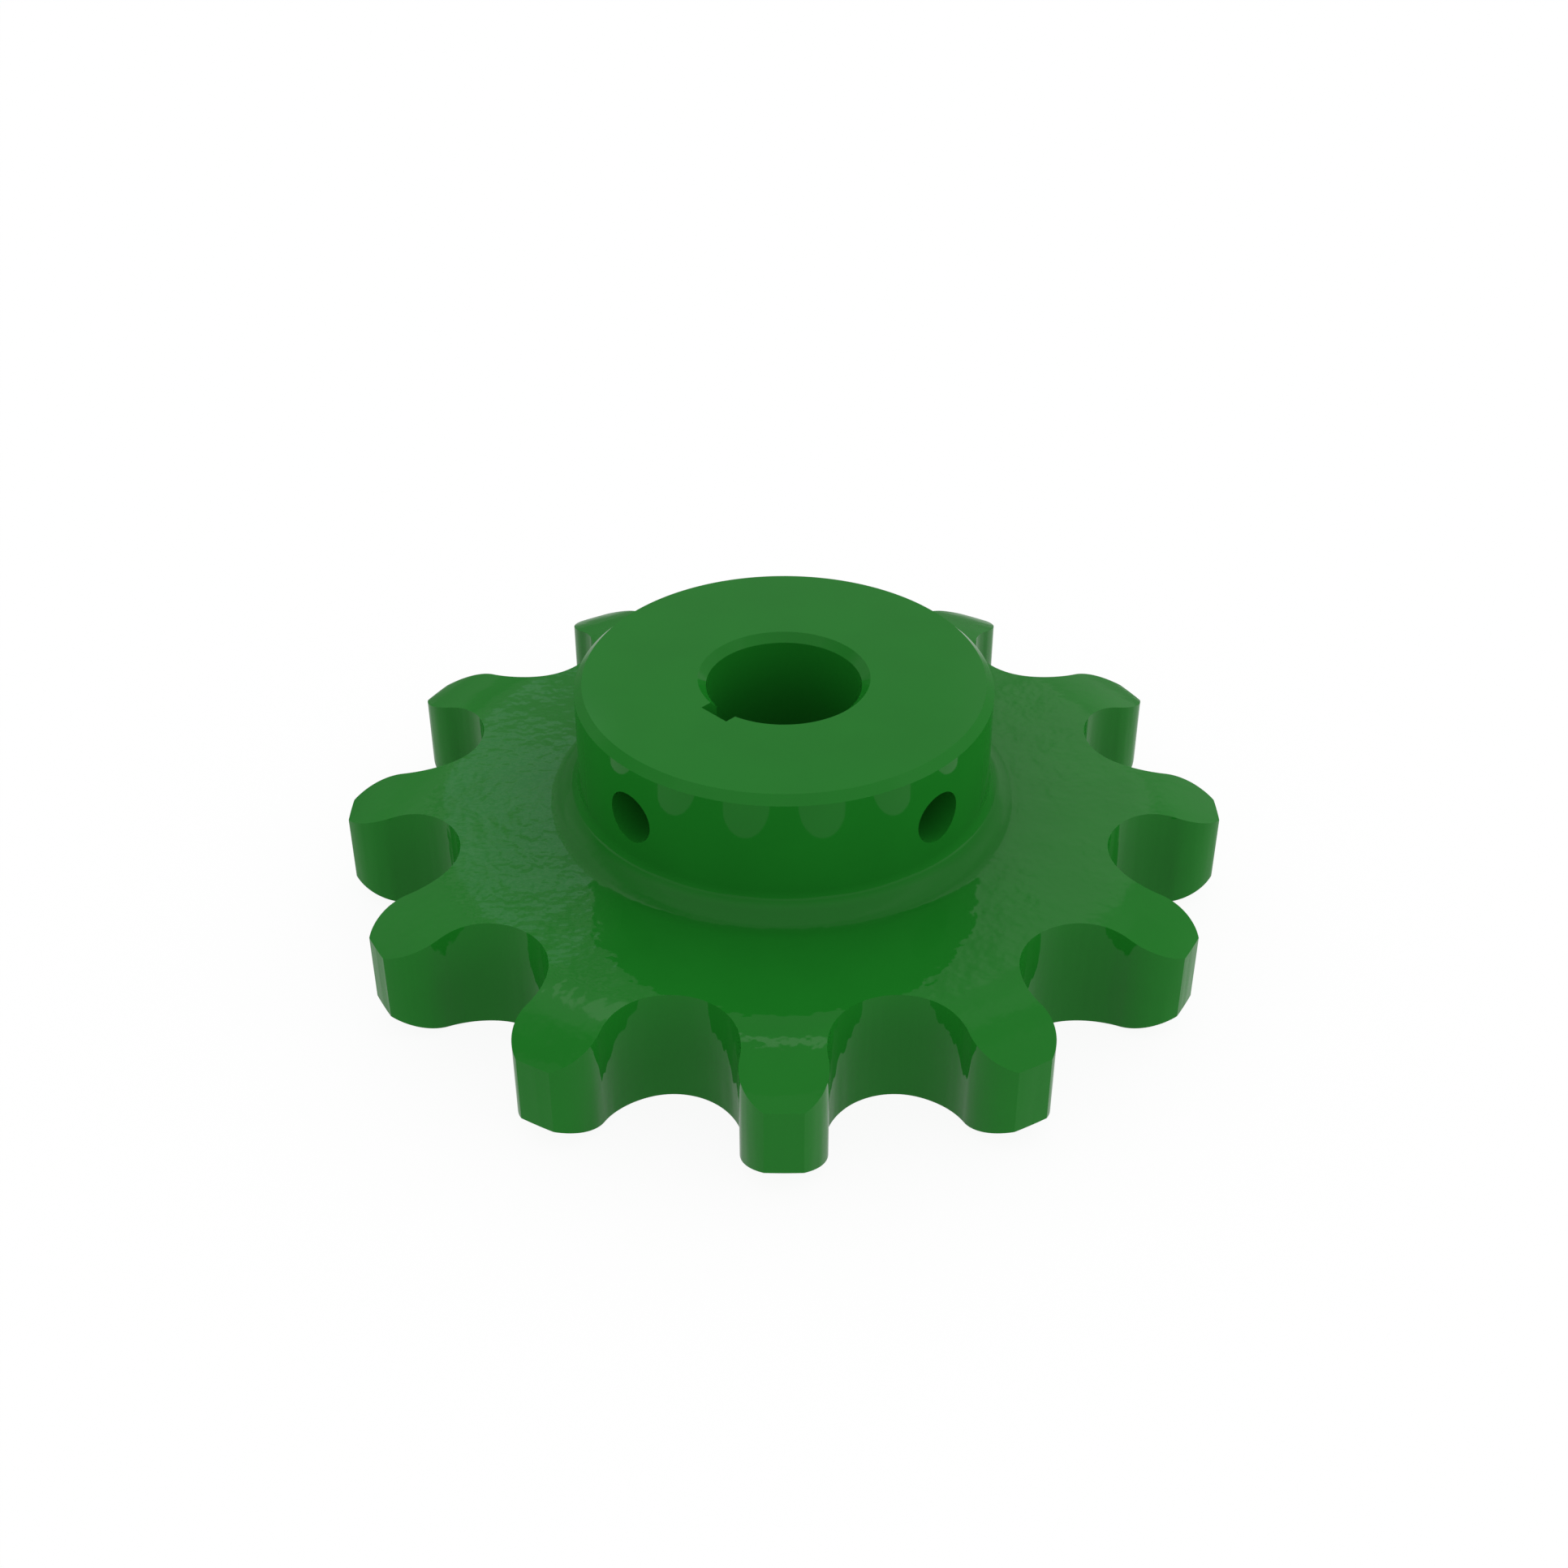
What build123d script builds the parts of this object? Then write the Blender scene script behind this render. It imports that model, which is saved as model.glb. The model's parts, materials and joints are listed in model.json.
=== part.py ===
from build123d import *
from math import asin, cos, pi, radians, sin, sqrt, tan
import os

# Roller-chain sprocket with a hub on one side, made in one piece. Sizes are in millimetres.
# The bore runs along Z, the plate's flat face lies at Z = 0 and the hub points up.
# One tooth points along -Y.

# Chain that the teeth carry
chain_pitch = 19.05
roller_diameter = 11.91
tooth_count = 12

# Teeth
roller_seat_play = 0.07             # added to the roller's radius
roller_seat_half_angle = 86.0       # degrees of seat on each side of a gap's bottom
tip_land = 3.29                     # flat across a tooth's tip
tip_height = 0.6                    # in pitches, over the circle inside the chain's polygon
tooth_width = 11.3
side_round_radius = 20.25           # rounding of a tooth's two sides, seen across the plate
side_round_depth = 9.42             # how far in from the tips that rounding reaches
first_tooth_angle = -90.0

# Hub
hub_diameter = 38.4
hub_projection = 12.7               # above the plate's upper face
hub_rim_chamfer = 0.75
hub_foot_fillet = 2.85

# Bore and keyway
bore_diameter = 14.3
bore_chamfer = 0.75
keyway_width = 3.2
keyway_depth = 1.7                  # from the bore's wall, at the keyway's middle
keyway_angle = -135.0

# Holes for the two set screws, the first one over the keyway
setscrew_hole_diameter = 4.95
setscrew_below_hub_face = 6.0
setscrew_spacing_angle = 90.0

# Worked out from the sizes above
gap_angle = 360 / tooth_count
pitch_radius = chain_pitch / 2 / sin(pi / tooth_count)
tip_radius = chain_pitch * (tip_height + 1 / tan(pi / tooth_count)) / 2
seat_radius = roller_diameter / 2 + roller_seat_play
side_round_start = tip_radius - side_round_depth
side_round_rise = side_round_radius - sqrt(side_round_radius**2 - side_round_depth**2)
hub_radius = hub_diameter / 2
hub_top = tooth_width + hub_projection
bore_radius = bore_diameter / 2
setscrew_height = hub_top - setscrew_below_hub_face
setscrew_angles = (keyway_angle, keyway_angle + setscrew_spacing_angle)
quarter_arc_weight = sqrt(0.5)      # makes the curve at the hub's foot a true quarter circle
cut_margin = 2.0                    # how far a cutter runs past what it cuts


def turned_section():
    """Half section of the turned blank, from the bore's wall out to the tips."""
    bore_rim = bore_radius + bore_chamfer
    plate_rim_top = tooth_width - side_round_rise
    fillet_foot = hub_radius + hub_foot_fillet
    fillet_top = tooth_width + hub_foot_fillet
    with BuildSketch(Plane.XZ) as section:
        with BuildLine():
            Line((bore_rim, 0), (side_round_start, 0))
            TangentArc((side_round_start, 0), (tip_radius, side_round_rise), tangent=(1, 0))
            Line((tip_radius, side_round_rise), (tip_radius, plate_rim_top))
            TangentArc((side_round_start, tooth_width), (tip_radius, plate_rim_top), tangent=(1, 0))
            Line((side_round_start, tooth_width), (fillet_foot, tooth_width))
            Bezier(
                (fillet_foot, tooth_width),
                (hub_radius, tooth_width),
                (hub_radius, fillet_top),
                weights=(1, quarter_arc_weight, 1),
            )
            Polyline(
                (hub_radius, fillet_top),
                (hub_radius, hub_top - hub_rim_chamfer),
                (hub_radius - hub_rim_chamfer, hub_top),
                (bore_rim, hub_top),
                (bore_radius, hub_top - bore_chamfer),
                (bore_radius, bore_chamfer),
                (bore_rim, 0),
            )
        make_face()
    return section.sketch


def tooth_gap():
    """Gap between two teeth, along +X: a roller's seat that runs over into two convex flanks."""
    half_angle = radians(roller_seat_half_angle)
    outward = (-cos(half_angle), sin(half_angle))
    along = (sin(half_angle), cos(half_angle))
    seat_end = (pitch_radius + seat_radius * outward[0], seat_radius * outward[1])
    tip_angle = pi / tooth_count - asin(tip_land / 2 / tip_radius)
    outer_radius = tip_radius + cut_margin
    tip_point = (tip_radius * cos(tip_angle), tip_radius * sin(tip_angle))
    outer_point = (outer_radius * cos(tip_angle), outer_radius * sin(tip_angle))

    with BuildSketch() as gap:
        with BuildLine():
            CenterArc(
                (pitch_radius, 0),
                seat_radius,
                180 - roller_seat_half_angle,
                2 * roller_seat_half_angle,
            )
            flank = TangentArc(seat_end, tip_point, tangent=along)
            mouth_side = Line(tip_point, outer_point)
            mirror(flank, about=Plane.XZ)
            mirror(mouth_side, about=Plane.XZ)
            Line(outer_point, (outer_point[0], -outer_point[1]))
        make_face()
    return gap.sketch


def sprocket():
    with BuildPart() as body:
        add(turned_section())
        revolve(axis=Axis.Z)

        # Gaps between the teeth
        with BuildSketch():
            with PolarLocations(0, tooth_count, start_angle=first_tooth_angle + gap_angle / 2):
                add(tooth_gap())
        extrude(amount=tooth_width, mode=Mode.SUBTRACT)

        # Keyway along the whole bore
        with BuildSketch():
            Rectangle(
                bore_radius + keyway_depth,
                keyway_width,
                rotation=keyway_angle,
                align=(Align.MIN, Align.CENTER),
            )
        extrude(amount=hub_top, mode=Mode.SUBTRACT)

        # Set-screw holes, from the bore out through one side of the hub
        for angle in setscrew_angles:
            outward = Vector(1, 0, 0).rotate(Axis.Z, angle)
            with BuildSketch(Plane(origin=(0, 0, setscrew_height), z_dir=outward)):
                Circle(setscrew_hole_diameter / 2)
            extrude(amount=hub_radius + cut_margin, mode=Mode.SUBTRACT)
    return body.part


os.makedirs("parts", exist_ok=True)
export_step(sprocket(), "parts/sprocket.step")
print("pitch diameter", round(2 * pitch_radius, 3), "outside diameter", round(2 * tip_radius, 3))
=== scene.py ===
import json
from math import asin, atan2, cos, hypot, pi, radians, sin, sqrt

import bpy
import numpy as np
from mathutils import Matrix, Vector


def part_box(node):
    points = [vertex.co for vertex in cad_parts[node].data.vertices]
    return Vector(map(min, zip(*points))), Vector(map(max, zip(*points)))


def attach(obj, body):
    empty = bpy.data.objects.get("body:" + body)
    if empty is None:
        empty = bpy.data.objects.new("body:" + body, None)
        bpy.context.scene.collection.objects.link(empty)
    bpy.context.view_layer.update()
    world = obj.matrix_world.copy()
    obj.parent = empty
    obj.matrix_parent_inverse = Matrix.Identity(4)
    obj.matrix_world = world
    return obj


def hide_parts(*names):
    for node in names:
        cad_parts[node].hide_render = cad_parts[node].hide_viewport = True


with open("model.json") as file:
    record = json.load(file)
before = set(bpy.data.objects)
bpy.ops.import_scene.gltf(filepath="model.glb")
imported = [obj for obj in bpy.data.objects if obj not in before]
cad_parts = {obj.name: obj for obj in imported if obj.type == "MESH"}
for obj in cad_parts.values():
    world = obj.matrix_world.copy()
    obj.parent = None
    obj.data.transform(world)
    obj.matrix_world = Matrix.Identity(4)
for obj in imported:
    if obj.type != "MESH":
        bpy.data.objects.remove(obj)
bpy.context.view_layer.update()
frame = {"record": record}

# Painted chain sprocket, one piece. Everything is in metres in the frame's own axes: the bore runs
# along Z, the plate lies on Z = 0 and one tooth points along -Y, towards the camera.

MM = 0.001
WHITE = (1, 1, 1, 1)
mounts = {mount["name"]: mount for mount in frame["record"]["mounts"]}
high_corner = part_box("sprocket")[1]

# Teeth
TOOTH_COUNT = 12
CHAIN_PITCH = 19.05 * MM
ROLLER_DIAMETER = 11.91 * MM
ROLLER_SEAT_PLAY = 0.07 * MM
ROLLER_SEAT_HALF_ANGLE = radians(86)
TIP_LAND = 3.29 * MM
TOOTH_WIDTH = 11.3 * MM
SIDE_ROUND_RADIUS = 20.25 * MM
SIDE_ROUND_DEPTH = 9.42 * MM
FIRST_TOOTH_ANGLE = radians(-90)
TIP_RADIUS = high_corner.x
PITCH_RADIUS = CHAIN_PITCH / 2 / sin(pi / TOOTH_COUNT)
SEAT_RADIUS = ROLLER_DIAMETER / 2 + ROLLER_SEAT_PLAY
SIDE_ROUND_START = TIP_RADIUS - SIDE_ROUND_DEPTH
SECTOR_HALF_ANGLE = pi / TOOTH_COUNT

# Hub, bore and holes
HUB_RADIUS = 19.2 * MM
HUB_TOP = high_corner.z
HUB_RIM_CHAMFER = 0.75 * MM
HUB_FOOT_FILLET = 2.85 * MM
BORE_RADIUS = mounts["bore"]["dims"]["r_mm"] * MM
BORE_CHAMFER = 0.75 * MM
KEYWAY_WIDTH = 3.2 * MM
KEYWAY_DEPTH = 1.7 * MM
SETSCREW_MOUNTS = (mounts["setscrew_hole_over_keyway"], mounts["setscrew_hole_side"])
CUT_MARGIN = 2 * MM                 # how far a drill runs past the hub's wall

# How finely the mesh follows the curves
COLUMNS_PER_SECTOR = 32
SEAT_STEPS = 26
FLANK_STEPS = 22
FILLET_STEPS = 16
WALL_ROWS = 4
SCREW_HOLE_SIDES = 96
WELD_DISTANCE = 0.002 * MM
SHARP_ANGLE = radians(30)

# Paint: colours and gloss
PAINT_COLOUR = (0.0098, 0.1665, 0.0140, 1)
PAINT_COLOUR_DEEP = (0.0094, 0.1595, 0.0134, 1)
# Darker colour painted into the fillet at the hub's foot: painted shade
PAINT_COLOUR_FOOT_SHADE = (0.0080, 0.1375, 0.0114, 1)
PAINT_ROUGHNESS = 0.5
COAT_SHARE = 0.6
COAT_IOR = 1.3
COAT_ROUGHNESS = 0.04

# Paint: its patterns. Each noise is given by its cells to the metre and how much finer detail it has
WAVE_NOISE = (300, 0.5)
DIMPLE_NOISE = (1000, 1.0)
STREAK_NOISE = (700, 1.0)
STREAK_SQUEEZE = (1, 1, 0.1)        # draws the streaks out upright, ten times as long as wide
SMOOTH_PATCH_NOISE = (130, 1.0)
SMOOTH_PATCH_EDGE = (0.35, 0.62)    # noise levels between which a smoother patch ends
TINT_NOISE = (160, 3.0)
TINT_EDGE = (0.3, 0.7)              # noise levels between which the deeper tint ends

# Paint: height of its waves, as shares of one unit, and how much of them is left in places
WAVE_UNIT = 0.05 * MM
WAVE_HEIGHT = 1.3
DIMPLE_HEIGHT = 0.66
STREAK_HEIGHT = 1.6
WAVES_IN_SMOOTH_PATCHES = 0.6
WAVES_ON_WALLS = 0.4

# Paint: how level a face is where it counts as plate and stops counting as wall, 0 upright, 1 level
PLATE_LEVELNESS = (0.0, 0.6)
WALL_LEVELNESS = (0.05, 0.4)

# Paint: distances from the axis between which the waves set in and the painted shade at the hub's foot
# comes and goes
WAVES_SET_IN = (HUB_RADIUS + 0.1 * MM, HUB_RADIUS + 1.2 * MM)
FOOT_SHADE_SETS_IN = (HUB_RADIUS + 0.05 * MM, HUB_RADIUS + 0.7 * MM)
FOOT_SHADE_FADES_OUT = (HUB_RADIUS + 1.9 * MM, HUB_RADIUS + 3.1 * MM)
# Heights between which the painted shade at the hub's foot comes in, so that it stays above the plate's
# face
FOOT_SHADE_HEIGHTS = (0.8 * TOOTH_WIDTH, TOOTH_WIDTH)

# Floor
FLOOR_SIZE = 3.0
TABLE_COLOUR = (0.86, 0.86, 0.86, 1)
TABLE_GLOW = 0.86
TABLE_GLOW_SHARE = 0.5
SEEN_GLOW_SHARE = 0.92              # the rest takes the part's shadow
MIRRORED_FLOOR_LEFT = 0.74
MIRRORED_FLOOR_RIGHT = 0.86
MIRRORED_FLOOR_REACH = 40 * MM      # how far to the left and right those two levels are reached
MIRRORED_FLOOR_BEHIND = 0.4         # share that is left far behind the part
MIRRORED_FLOOR_DIMS = (60 * MM, 110 * MM)

# Light that falls on the part, added up for a direction (x, y, z) of length 1
LIGHT_LEVEL = 0.46                  # the same in every direction
LIGHT_HALFWAY_UP = 3.0              # times z (1 - z)
LIGHT_BOTH_SIDES = 0.22             # times x squared
LIGHT_RIGHT = 0.238                 # times x
LIGHT_BEHIND = 0.19                 # times y

# Room that the paint mirrors. Angles are in degrees: side 0 is straight behind the part and side 90
# is at its right, height 0 is the horizon
ROOM_BEHIND = 0.72
ROOM_IN_FRONT = 1.03
ROOM_TURNS_FRONT = (78, 108)        # sides between which the first goes over into the second
ROOM_LOW_SHARE = 0.5                # share of that at the horizon
ROOM_FULL_HEIGHT = 26               # height from which all of it is there
# Each panel: side from and to, height from and to, softness of its edges, brightness added
ROOM_PANELS = {
    "left_wall_in_shade": (-112, -70, -20, 52, 5, -0.22),
    "gap_above_left_wall": (-80, -42, 53, 68, 4, -0.35),
    "left_softbox": (-62, -7, 31.5, 60, 2.5, 0.27),
    "left_softbox_foot": (-62, -40, 18, 31.5, 4, 0.15),
    "left_softbox_head": (-36, -16, 49, 62, 3, 0.3),
    "shade_below_left_softbox": (-38, -7, -20, 28, 2, -0.13),
    "left_softbox_stand": (-18, -9, 17, 27, 2, -0.17),
    "low_panel_inner_end": (8, 18, 3, 31, 3, 0.1),
    "low_panel": (18, 40, 3, 31, 4, 0.27),
    "right_softbox": (7, 22, 30, 42.5, 2.5, 0.68),
    "upper_panel": (7, 34, 42.5, 62, 3, 0.2),
    "upper_panel_head": (20, 32, 50, 62, 3, 0.25),
    "right_wall_panel": (54, 112, 24, 68, 6, 0.22),
}
# Each strip lamp: side from and to, slope of its line, height of the line at side 0, brightness added
STRIP_LAMPS = {
    "slanting_strip_lamp": (-23, -9, -0.45, 46.0, 1.4),
    "overhead_strip_lamp": (-7, 7, -0.15, 60.0, 2.1),
}
LAMP_HALF_HEIGHT = 2.2
LAMP_EDGE_SOFTNESS = 1
LAMP_END_SOFTNESS = 2
# A blind of bright and dark slats and a faintly blue window, both given as a panel is
BLIND = (-20, -6, 33, 47, 1.5, 0.3)
BLIND_SLAT_SPACING = 2.2
WINDOW = (-11.2, -6.6, 33.0, 38.8, 1.5, 0.75)
WINDOW_COLOUR = (0.75, 1.0, 1.25, 1)

# Camera: it looks at the middle of the part's box, from the front and above
VIEW_TARGET = Vector((0, 0, HUB_TOP / 2))
VIEW_DISTANCE = 203.6 * MM
VIEW_ELEVATION = radians(35.264)
VIEW_FIELD = radians(40)
NEAREST_SEEN = 1 * MM


def side_round_sag(radius):
    """How far a tooth's rounded side lies below the plate's face at this distance from the axis."""
    reach = max(radius - SIDE_ROUND_START, 0)
    return SIDE_ROUND_RADIUS - sqrt(SIDE_ROUND_RADIUS**2 - reach**2)


def tooth_side():
    """Points (radius, half angle of the tooth) from a gap's bottom out to the tip's corner."""
    end = np.array(
        (
            PITCH_RADIUS - SEAT_RADIUS * cos(ROLLER_SEAT_HALF_ANGLE),
            SEAT_RADIUS * sin(ROLLER_SEAT_HALF_ANGLE),
        )
    )
    tip_half_angle = asin(TIP_LAND / 2 / TIP_RADIUS)
    tip_angle = SECTOR_HALF_ANGLE - tip_half_angle
    tip = TIP_RADIUS * np.array((cos(tip_angle), sin(tip_angle)))

    # The flank is an arc that leaves the roller's seat smoothly and ends at the tip's corner
    normal = np.array((-cos(ROLLER_SEAT_HALF_ANGLE), sin(ROLLER_SEAT_HALF_ANGLE)))
    chord = tip - end
    flank_radius = chord @ chord / (2 * chord @ normal)
    centre = end + flank_radius * normal
    start = end - centre
    start_angle = atan2(start[1], start[0])
    turn = 2 * asin(sqrt(chord @ chord) / 2 / flank_radius)

    points = []
    for step in range(SEAT_STEPS):
        angle = ROLLER_SEAT_HALF_ANGLE * step / SEAT_STEPS
        points.append((PITCH_RADIUS - SEAT_RADIUS * cos(angle), SEAT_RADIUS * sin(angle)))
    for step in range(FLANK_STEPS + 1):
        angle = start_angle + turn * step / FLANK_STEPS
        points.append(tuple(centre + flank_radius * np.array((cos(angle), sin(angle)))))
    return [(hypot(x, y), SECTOR_HALF_ANGLE - atan2(y, x)) for x, y in points]


def hub_rings():
    """Rings (radius, height) from the bore's lower rim, up the bore and over the hub to its foot."""
    bore_rim = BORE_RADIUS + BORE_CHAMFER
    rings = [
        (bore_rim, 0),
        (BORE_RADIUS, BORE_CHAMFER),
        (BORE_RADIUS, HUB_TOP - BORE_CHAMFER),
        (bore_rim, HUB_TOP),
        (HUB_RADIUS - HUB_RIM_CHAMFER, HUB_TOP),
        (HUB_RADIUS, HUB_TOP - HUB_RIM_CHAMFER),
    ]
    for step in range(FILLET_STEPS + 1):
        angle = pi / 2 * step / FILLET_STEPS
        rings.append(
            (
                HUB_RADIUS + HUB_FOOT_FILLET * (1 - cos(angle)),
                TOOTH_WIDTH + HUB_FOOT_FILLET * (1 - sin(angle)),
            )
        )
    return rings


def turned_point(radius, height, angle):
    around = FIRST_TOOTH_ANGLE + angle
    return (radius * cos(around), radius * sin(around), height)


def add_grid(rows, vertices, faces):
    """Adds rows of points, joined by quads that face away from the solid."""
    start = len(vertices)
    width = len(rows[0])
    for row in rows:
        vertices.extend(row)
    for i in range(len(rows) - 1):
        for j in range(width - 1):
            a = start + i * width + j
            faces.append((a, a + width, a + width + 1, a + 1))


def tooth_sector():
    """A twelfth of the sprocket: a slice of hub and plate with its tooth, open at both sides."""
    side = tooth_side()
    rings = [(radius, height, SECTOR_HALF_ANGLE) for radius, height in hub_rings()]
    rings += [(radius, TOOTH_WIDTH - side_round_sag(radius), half) for radius, half in side]
    tip_radius, tip_half = side[-1]
    upper = TOOTH_WIDTH - side_round_sag(tip_radius)
    lower = side_round_sag(tip_radius)
    for row in range(1, WALL_ROWS):
        rings.append((tip_radius, upper + (lower - upper) * row / WALL_ROWS, tip_half))
    rings += [(radius, side_round_sag(radius), half) for radius, half in reversed(side)]
    rings.append((BORE_RADIUS + BORE_CHAMFER, 0, SECTOR_HALF_ANGLE))

    vertices = []
    faces = []
    across = np.linspace(-1, 1, COLUMNS_PER_SECTOR + 1)
    add_grid([[turned_point(r, z, half * t) for t in across] for r, z, half in rings], vertices, faces)

    # The tooth's two flanks. One takes its heights the other way round, so that both face outwards
    for edge in (-1, 1):
        columns = []
        for radius, half in side:
            top = TOOTH_WIDTH - side_round_sag(radius)
            bottom = side_round_sag(radius)
            heights = np.linspace(top, bottom, WALL_ROWS + 1)
            columns.append([turned_point(radius, z, half * edge) for z in heights[::edge]])
        add_grid(columns, vertices, faces)

    mesh = bpy.data.meshes.new("tooth_sector")
    mesh.from_pydata(vertices, [], faces)
    mesh.validate()
    return mesh


def new_object(name, data):
    made = bpy.data.objects.new(name, data)
    bpy.context.scene.collection.objects.link(made)
    return made


class Nodes:
    """Short calls that build a tree of nodes."""

    def __init__(self, tree):
        self.tree = tree
        tree.nodes.clear()

    def join(self, source, target):
        self.tree.links.new(source, target)

    def feed(self, socket, value):
        """Gives a socket its value, which is another node's output or a plain one."""
        if isinstance(value, bpy.types.NodeSocket):
            self.join(value, socket)
        else:
            socket.default_value = value

    def add(self, kind, inputs=None, **settings):
        """A new node with its settings made and then its inputs fed."""
        made = self.tree.nodes.new(kind)
        for name, value in settings.items():
            setattr(made, name, value)
        for name, value in (inputs or {}).items():
            self.feed(made.inputs[name], value)
        return made

    def math(self, operation, a, b=0.0, c=0.0):
        return self.add("ShaderNodeMath", {0: a, 1: b, 2: c}, operation=operation).outputs["Value"]

    def times(self, a, b):
        return self.math("MULTIPLY", a, b)

    def over(self, value, limit):
        """Whether a value is greater than a limit."""
        values = {"A": value, "B": limit}
        test = self.add("FunctionNodeCompare", values, data_type="FLOAT", operation="GREATER_THAN")
        return test.outputs["Result"]


def welded(nodes, given, mesh):
    """The mesh with the points that lie on top of each other made one."""
    inputs = {"Geometry": mesh, "Distance": given["Weld Distance"]}
    return nodes.add("GeometryNodeMergeByDistance", inputs).outputs["Geometry"]


def repeated_sector(nodes, given):
    """The sector's copies round the axis, welded into one body."""
    points = nodes.add("GeometryNodePoints", {"Count": given["Teeth"]})
    number = nodes.add("GeometryNodeInputIndex")
    turn = nodes.times(number.outputs["Index"], nodes.math("DIVIDE", 2 * pi, given["Teeth"]))
    around_axis = nodes.add("ShaderNodeCombineXYZ", {"Z": turn})
    inputs = {
        "Points": points.outputs["Points"],
        "Instance": given["Geometry"],
        "Rotation": around_axis.outputs["Vector"],
    }
    copies = nodes.add("GeometryNodeInstanceOnPoints", inputs)
    real_copies = nodes.add("GeometryNodeRealizeInstances", {"Geometry": copies.outputs["Instances"]})
    return welded(nodes, given, real_copies.outputs["Geometry"])


def cutters(nodes, given):
    """The keyway's block and the two drills, each where it cuts."""
    block = nodes.add("GeometryNodeMeshCube", {"Size": given["Keyway Size"]}).outputs["Mesh"]
    drill_sizes = {
        "Vertices": SCREW_HOLE_SIDES,
        "Radius": given["Screw Hole Radius"],
        "Depth": given["Screw Hole Depth"],
    }
    drill = nodes.add("GeometryNodeMeshCylinder", drill_sizes, fill_type="NGON").outputs["Mesh"]
    in_place = []
    for name, shape in (("Keyway", block), ("First Screw Hole", drill), ("Second Screw Hole", drill)):
        inputs = {
            "Geometry": shape,
            "Translation": given[f"{name} Centre"],
            "Rotation": given[f"{name} Turn"],
        }
        in_place.append(nodes.add("GeometryNodeTransform", inputs).outputs["Geometry"])
    return in_place


def cut_open(nodes, given, body):
    """The body without the keyway and the screw holes."""
    cut = nodes.add("GeometryNodeMeshBoolean", {"Mesh 1": body}, operation="DIFFERENCE", solver="EXACT")
    for cutter in cutters(nodes, given):
        nodes.join(cutter, cut.inputs["Mesh 2"])

    # The cuts leave a few points on top of each other, which are welded as well. Faces that they
    # gave more than four corners are divided into well-shaped triangles
    face = nodes.add("GeometryNodeInputMeshFaceNeighbors")
    inputs = {
        "Mesh": welded(nodes, given, cut.outputs["Mesh"]),
        "Selection": nodes.over(face.outputs["Vertex Count"], 4),
    }
    return nodes.add("GeometryNodeTriangulate", inputs).outputs["Mesh"]


def crisp_edged(nodes, given, mesh):
    """The mesh with smooth faces, and with sharp edges where it folds by more than a set angle."""
    smooth = nodes.add("GeometryNodeSetShadeSmooth", {"Geometry": mesh}, domain="FACE")
    fold = nodes.add("GeometryNodeInputMeshEdgeAngle")
    inputs = {
        "Geometry": smooth.outputs["Geometry"],
        "Selection": nodes.over(fold.outputs["Unsigned Angle"], given["Sharp Angle"]),
        "Shade Smooth": False,
    }
    return nodes.add("GeometryNodeSetShadeSmooth", inputs, domain="EDGE").outputs["Geometry"]


def sprocket_tree():
    """Node tree that repeats the sector round the axis, cuts keyway and screw holes, and paints it."""
    tree = bpy.data.node_groups.new("sprocket_from_sector", "GeometryNodeTree")
    tree.interface.new_socket("Geometry", in_out="INPUT", socket_type="NodeSocketGeometry")
    for name, kind in (
        ("Teeth", "NodeSocketInt"),
        ("Weld Distance", "NodeSocketFloat"),
        ("Sharp Angle", "NodeSocketFloat"),
        ("Keyway Size", "NodeSocketVector"),
        ("Keyway Centre", "NodeSocketVector"),
        ("Keyway Turn", "NodeSocketVector"),
        ("Screw Hole Radius", "NodeSocketFloat"),
        ("Screw Hole Depth", "NodeSocketFloat"),
        ("First Screw Hole Centre", "NodeSocketVector"),
        ("First Screw Hole Turn", "NodeSocketVector"),
        ("Second Screw Hole Centre", "NodeSocketVector"),
        ("Second Screw Hole Turn", "NodeSocketVector"),
        ("Paint", "NodeSocketMaterial"),
    ):
        tree.interface.new_socket(name, in_out="INPUT", socket_type=kind)
    tree.interface.new_socket("Geometry", in_out="OUTPUT", socket_type="NodeSocketGeometry")

    nodes = Nodes(tree)
    given = nodes.add("NodeGroupInput").outputs
    body = cut_open(nodes, given, repeated_sector(nodes, given))
    real = nodes.add("GeometryNodeRealizeInstances", {"Geometry": crisp_edged(nodes, given, body)})
    inputs = {"Geometry": real.outputs["Geometry"], "Material": given["Paint"]}
    painted = nodes.add("GeometryNodeSetMaterial", inputs)
    nodes.add("NodeGroupOutput", {"Geometry": painted.outputs["Geometry"]})
    return tree


def socket_id(tree, name):
    return next(item.identifier for item in tree.interface.items_tree if item.name == name)


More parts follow.
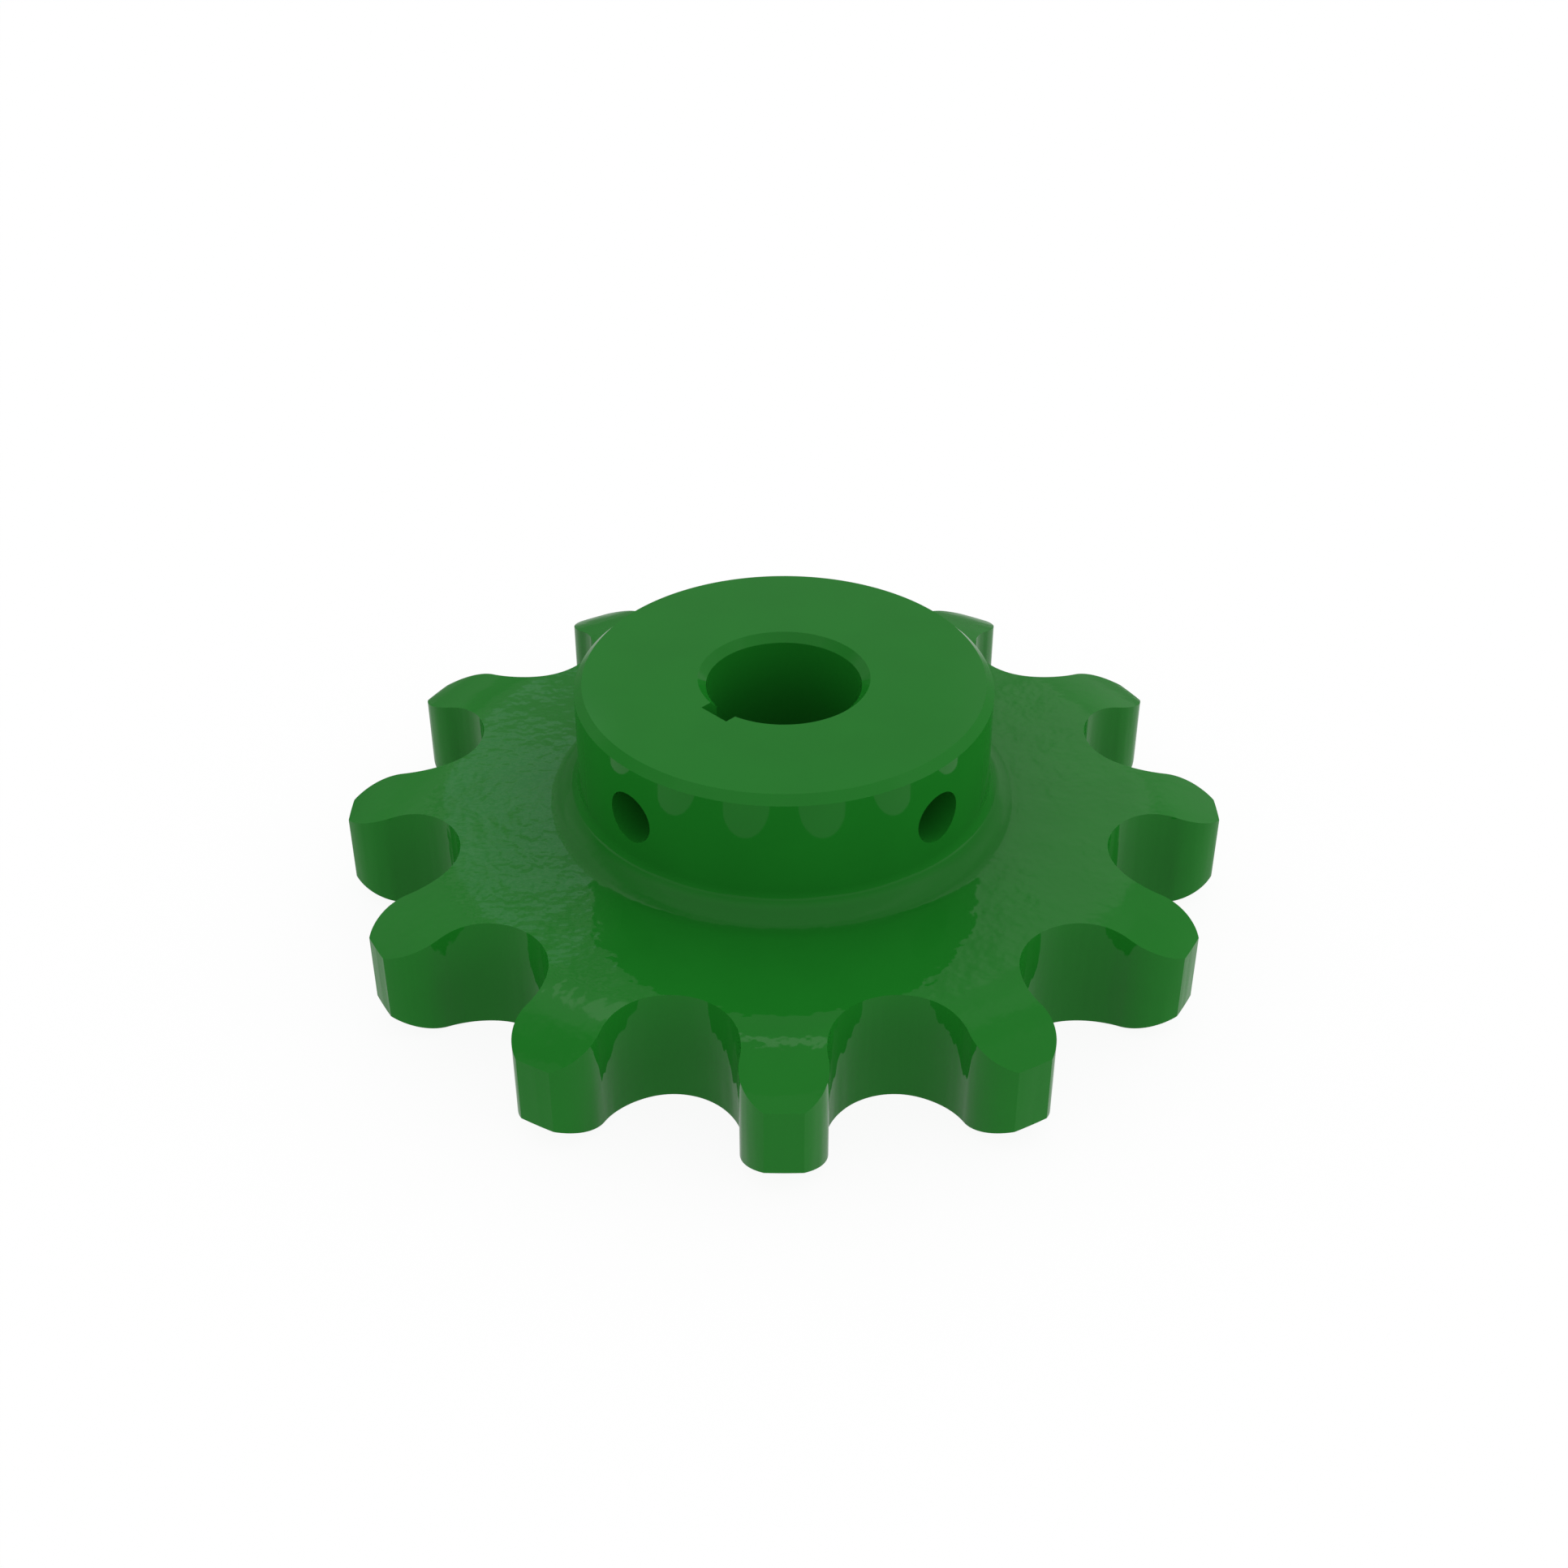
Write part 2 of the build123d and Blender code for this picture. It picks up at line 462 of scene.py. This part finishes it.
def build_sprocket(paint):
    """The whole sprocket as one plain mesh, in place of the CAD solid."""
    holder = new_object("sprocket_holder", tooth_sector())
    modifier = holder.modifiers.new("sprocket", "NODES")
    tree = sprocket_tree()
    modifier.node_group = tree

    outward = [Vector(mount["axis"]).normalized() for mount in SETSCREW_MOUNTS]
    heights = [mount["pos_m"][2] for mount in SETSCREW_MOUNTS]
    turns = [atan2(axis.y, axis.x) for axis in outward]
    hole_depth = HUB_RADIUS + CUT_MARGIN
    centres = [axis * hole_depth / 2 + Vector((0, 0, height)) for axis, height in zip(outward, heights)]
    key_length = BORE_RADIUS + KEYWAY_DEPTH
    values = {
        "Teeth": TOOTH_COUNT,
        "Weld Distance": WELD_DISTANCE,
        "Sharp Angle": SHARP_ANGLE,
        "Keyway Size": (key_length, KEYWAY_WIDTH, 2 * HUB_TOP),
        "Keyway Centre": tuple(outward[0] * key_length / 2 + Vector((0, 0, HUB_TOP / 2))),
        "Keyway Turn": (0, 0, turns[0]),
        "Screw Hole Radius": SETSCREW_MOUNTS[0]["dims"]["r_mm"] * MM,
        "Screw Hole Depth": hole_depth,
        "First Screw Hole Centre": tuple(centres[0]),
        "First Screw Hole Turn": (0, pi / 2, turns[0]),
        "Second Screw Hole Centre": tuple(centres[1]),
        "Second Screw Hole Turn": (0, pi / 2, turns[1]),
        "Paint": paint,
    }
    for name, value in values.items():
        modifier[socket_id(tree, name)] = value

    graph = bpy.context.evaluated_depsgraph_get()
    mesh = bpy.data.meshes.new_from_object(holder.evaluated_get(graph), depsgraph=graph)
    mesh.name = "painted_sprocket"
    bpy.data.objects.remove(holder)
    sprocket = new_object("painted_sprocket", mesh)
    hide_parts("sprocket")
    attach(sprocket, "root")


class Shades(Nodes):
    """Short calls for the nodes of a material or of the world."""

    def ramp(self, value, low, high, start=0.0, end=1.0):
        """A soft step from start to end while value goes from low to high."""
        inputs = {"Value": value, "From Min": low, "From Max": high, "To Min": start, "To Max": end}
        step = self.add("ShaderNodeMapRange", inputs, interpolation_type="SMOOTHSTEP")
        return step.outputs["Result"]

    def between(self, value, low, high, soft):
        """1 while value lies between low and high, 0 outside, with soft ends."""
        rise = self.ramp(value, low - soft, low + soft)
        fall = self.ramp(value, high - soft, high + soft, 1.0, 0.0)
        return self.times(rise, fall)

    def noise(self, place, fineness, detail):
        inputs = {"Vector": place, "Scale": fineness, "Detail": detail}
        return self.add("ShaderNodeTexNoise", inputs).outputs["Fac"]

    def parts(self, vector):
        """The three parts of a vector."""
        split = self.add("ShaderNodeSeparateXYZ", {"Vector": vector})
        return split.outputs["X"], split.outputs["Y"], split.outputs["Z"]

    def glow(self, strength):
        inputs = {"Color": WHITE, "Strength": strength}
        return self.add("ShaderNodeEmission", inputs).outputs["Emission"]

    def matt(self, colour):
        return self.add("ShaderNodeBsdfDiffuse", {"Color": colour}).outputs["BSDF"]

    def sky(self, strength, colour=WHITE):
        inputs = {"Color": colour, "Strength": strength}
        return self.add("ShaderNodeBackground", inputs).outputs["Background"]

    def blend(self, share, first, second):
        """The first shader where the share is 0, the second where it is 1."""
        return self.add("ShaderNodeMixShader", {"Fac": share, 1: first, 2: second}).outputs["Shader"]

    def blend_colours(self, share, first, second):
        inputs = {"Factor": share, "A": first, "B": second}
        return self.add("ShaderNodeMix", inputs, data_type="RGBA").outputs["Result"]


def new_material(name):
    """A new material, and the calls for its nodes."""
    material = bpy.data.materials.new(name)
    material.use_nodes = True
    return material, Shades(material.node_tree)


def paint_waves(shades, place, radius):
    """Normal of the paint: plain on the turned hub and in the bore, wavy on the raw plate and teeth."""
    off_hub = shades.ramp(radius, *WAVES_SET_IN)
    face = shades.add("ShaderNodeNewGeometry")
    levelness = shades.math("ABSOLUTE", shades.parts(face.outputs["Normal"])[2])

    # Waves and dimples, weaker on upright walls and in smoother patches
    rough_share = shades.times(off_hub, shades.ramp(levelness, *PLATE_LEVELNESS, WAVES_ON_WALLS, 1.0))
    patch_noise = shades.noise(place, *SMOOTH_PATCH_NOISE)
    patches = shades.ramp(patch_noise, *SMOOTH_PATCH_EDGE, WAVES_IN_SMOOTH_PATCHES, 1.0)
    rough_share = shades.times(rough_share, patches)
    waves = shades.times(shades.noise(place, *WAVE_NOISE), WAVE_HEIGHT)
    dimples = shades.times(shades.noise(place, *DIMPLE_NOISE), DIMPLE_HEIGHT)
    height = shades.times(shades.math("ADD", waves, dimples), rough_share)

    # Streaks down the walls between the teeth
    wall_share = shades.times(off_hub, shades.ramp(levelness, *WALL_LEVELNESS, 1.0, 0.0))
    upright = shades.add("ShaderNodeMapping", {"Vector": place, "Scale": STREAK_SQUEEZE})
    streaks = shades.times(shades.noise(upright.outputs["Vector"], *STREAK_NOISE), STREAK_HEIGHT)
    height = shades.math("ADD", height, shades.times(streaks, wall_share))

    inputs = {"Strength": 1.0, "Distance": WAVE_UNIT, "Height": height}
    return shades.add("ShaderNodeBump", inputs).outputs["Normal"]


def paint_tint(shades, place, radius, height):
    """Colour of the paint: a little deeper in patches, and darker in the fillet at the hub's foot,
    which is painted shade.
    """
    paler = shades.ramp(shades.noise(place, *TINT_NOISE), *TINT_EDGE)
    colour = shades.blend_colours(paler, PAINT_COLOUR_DEEP, PAINT_COLOUR)
    # Painted shade: the fillet at the hub's foot is darkened in the colour
    past_wall = shades.ramp(radius, *FOOT_SHADE_SETS_IN)
    before_plate = shades.ramp(radius, *FOOT_SHADE_FADES_OUT, 1.0, 0.0)
    foot_shade = shades.times(shades.times(past_wall, before_plate), shades.ramp(height, *FOOT_SHADE_HEIGHTS))
    return shades.blend_colours(foot_shade, colour, PAINT_COLOUR_FOOT_SHADE)


def green_paint():
    """Glossy green paint: smooth on the turned hub, slightly wavy where it lies on the raw plate."""
    material, shades = new_material("green_paint")
    place = shades.add("ShaderNodeTexCoord").outputs["Object"]
    x, y, z = shades.parts(place)
    radius = shades.math("SQRT", shades.math("ADD", shades.times(x, x), shades.times(y, y)))
    normal = paint_waves(shades, place, radius)

    inputs = {
        "Base Color": paint_tint(shades, place, radius, z),
        "Roughness": PAINT_ROUGHNESS,
        "Specular IOR Level": 0.0,
        "Coat Weight": COAT_SHARE,
        "Coat IOR": COAT_IOR,
        "Coat Roughness": COAT_ROUGHNESS,
        "Normal": normal,
        "Coat Normal": normal,
    }
    surface = shades.add("ShaderNodeBsdfPrincipled", inputs)
    shades.add("ShaderNodeOutputMaterial", {"Surface": surface.outputs["BSDF"]})
    return material


def white_floor():
    """Material of the floor: one look as a light, one for the camera and one in the paint's gloss."""
    material, shades = new_material("white_floor")

    # What lights the part from below: a white table, half of its light its own glow
    lit_table = shades.blend(TABLE_GLOW_SHARE, shades.matt(TABLE_COLOUR), shades.glow(TABLE_GLOW))

    # What the camera sees: white, with a trace of the part's shadow
    seen = shades.blend(SEEN_GLOW_SHARE, shades.matt(WHITE), shades.glow(1.0))

    # What the paint mirrors: a little brighter on the right, dimmer far behind the part
    x, y = shades.parts(shades.add("ShaderNodeTexCoord").outputs["Object"])[:2]
    reach = MIRRORED_FLOOR_REACH
    to_right = shades.ramp(x, -reach, reach, MIRRORED_FLOOR_LEFT, MIRRORED_FLOOR_RIGHT)
    far_behind = shades.ramp(y, *MIRRORED_FLOOR_DIMS, 1.0, MIRRORED_FLOOR_BEHIND)
    mirrored = shades.glow(shades.times(to_right, far_behind))

    path = shades.add("ShaderNodeLightPath")
    lit_or_seen = shades.blend(path.outputs["Is Camera Ray"], lit_table, seen)
    whole = shades.blend(path.outputs["Is Glossy Ray"], lit_or_seen, mirrored)
    shades.add("ShaderNodeOutputMaterial", {"Surface": whole})
    return material


def lay_floor():
    """The floor that the part lies on."""
    mesh = bpy.data.meshes.new("floor")
    half = FLOOR_SIZE / 2
    corners = [(-half, -half, 0), (half, -half, 0), (half, half, 0), (-half, half, 0)]
    mesh.from_pydata(corners, [], [(0, 1, 2, 3)])
    mesh.materials.append(white_floor())
    floor = new_object("floor", mesh)


def mirrored_room(shades, side, height):
    """The room as the paint mirrors it: softboxes, lamps, a blind and a window among plain walls."""

    def panel(side_from, side_to, height_from, height_to, soft, strength):
        across = shades.between(side, side_from, side_to, soft)
        upright = shades.between(height, height_from, height_to, soft)
        return shades.times(shades.times(across, upright), strength)

    def strip_lamp(side_from, side_to, slope, middle_height, strength):
        line = shades.math("MULTIPLY_ADD", side, slope, middle_height)
        above_line = shades.math("SUBTRACT", height, line)
        across = shades.between(side, side_from, side_to, LAMP_END_SOFTNESS)
        upright = shades.between(above_line, -LAMP_HALF_HEIGHT, LAMP_HALF_HEIGHT, LAMP_EDGE_SOFTNESS)
        return shades.times(shades.times(across, upright), strength)

    turned_away = shades.math("ABSOLUTE", side)
    walls = shades.ramp(turned_away, *ROOM_TURNS_FRONT, ROOM_BEHIND, ROOM_IN_FRONT)
    room = shades.times(walls, shades.ramp(height, 0, ROOM_FULL_HEIGHT, ROOM_LOW_SHARE, 1.0))
    for name, values in ROOM_PANELS.items():
        room = shades.math("ADD", room, panel(*values))
        room.node.label = name
    for name, values in STRIP_LAMPS.items():
        room = shades.math("ADD", room, strip_lamp(*values))
        room.node.label = name
    slats = shades.math("SINE", shades.times(height, 2 * pi / BLIND_SLAT_SPACING))
    room = shades.math("MULTIPLY_ADD", slats, panel(*BLIND), room)

    window = shades.sky(panel(*WINDOW), WINDOW_COLOUR)
    return shades.add("ShaderNodeAddShader", {0: shades.sky(room), 1: window}).outputs["Shader"]


def soft_light():
    """An even white studio all round, with a room of softboxes for the paint to mirror."""
    world = bpy.data.worlds.new("studio")
    bpy.context.scene.world = world
    world.use_nodes = True
    shades = Shades(world.node_tree)
    x, y, z = shades.parts(shades.add("ShaderNodeTexCoord").outputs["Generated"])

    # What the paint mirrors
    height = shades.times(shades.math("ARCSINE", z), 180 / pi)
    side = shades.times(shades.math("ARCTAN2", x, y), 180 / pi)
    mirrored = mirrored_room(shades, side, height)

    # What lights the part: strongest half way up, stronger at the right and behind than opposite
    halfway_up = shades.times(shades.math("SUBTRACT", 1.0, z), shades.math("MAXIMUM", z, 0.0))
    level = shades.math("MULTIPLY_ADD", halfway_up, LIGHT_HALFWAY_UP, LIGHT_LEVEL)
    level = shades.math("MULTIPLY_ADD", shades.times(x, x), LIGHT_BOTH_SIDES, level)
    level = shades.math("MULTIPLY_ADD", x, LIGHT_RIGHT, level)
    level = shades.math("MULTIPLY_ADD", y, LIGHT_BEHIND, level)

    # What the camera sees past the floor's far edge: plain white
    path = shades.add("ShaderNodeLightPath")
    lit_or_mirrored = shades.blend(path.outputs["Is Glossy Ray"], shades.sky(level), mirrored)
    whole = shades.blend(path.outputs["Is Camera Ray"], lit_or_mirrored, shades.sky(1.0))
    shades.add("ShaderNodeOutputWorld", {"Surface": whole})


def photo_camera():
    data = bpy.data.cameras.new("photo_camera")
    data.sensor_fit = "HORIZONTAL"
    data.angle = VIEW_FIELD
    data.clip_start = NEAREST_SEEN
    camera = new_object("photo_camera", data)
    away = Vector((0, -cos(VIEW_ELEVATION), sin(VIEW_ELEVATION)))
    camera.location = VIEW_TARGET + away * VIEW_DISTANCE
    camera.rotation_euler = (-away).to_track_quat("-Z", "Y").to_euler()
    bpy.context.scene.camera = camera


photo_camera()
soft_light()
lay_floor()
build_sprocket(green_paint())
bpy.context.scene.view_settings.view_transform = "Standard"
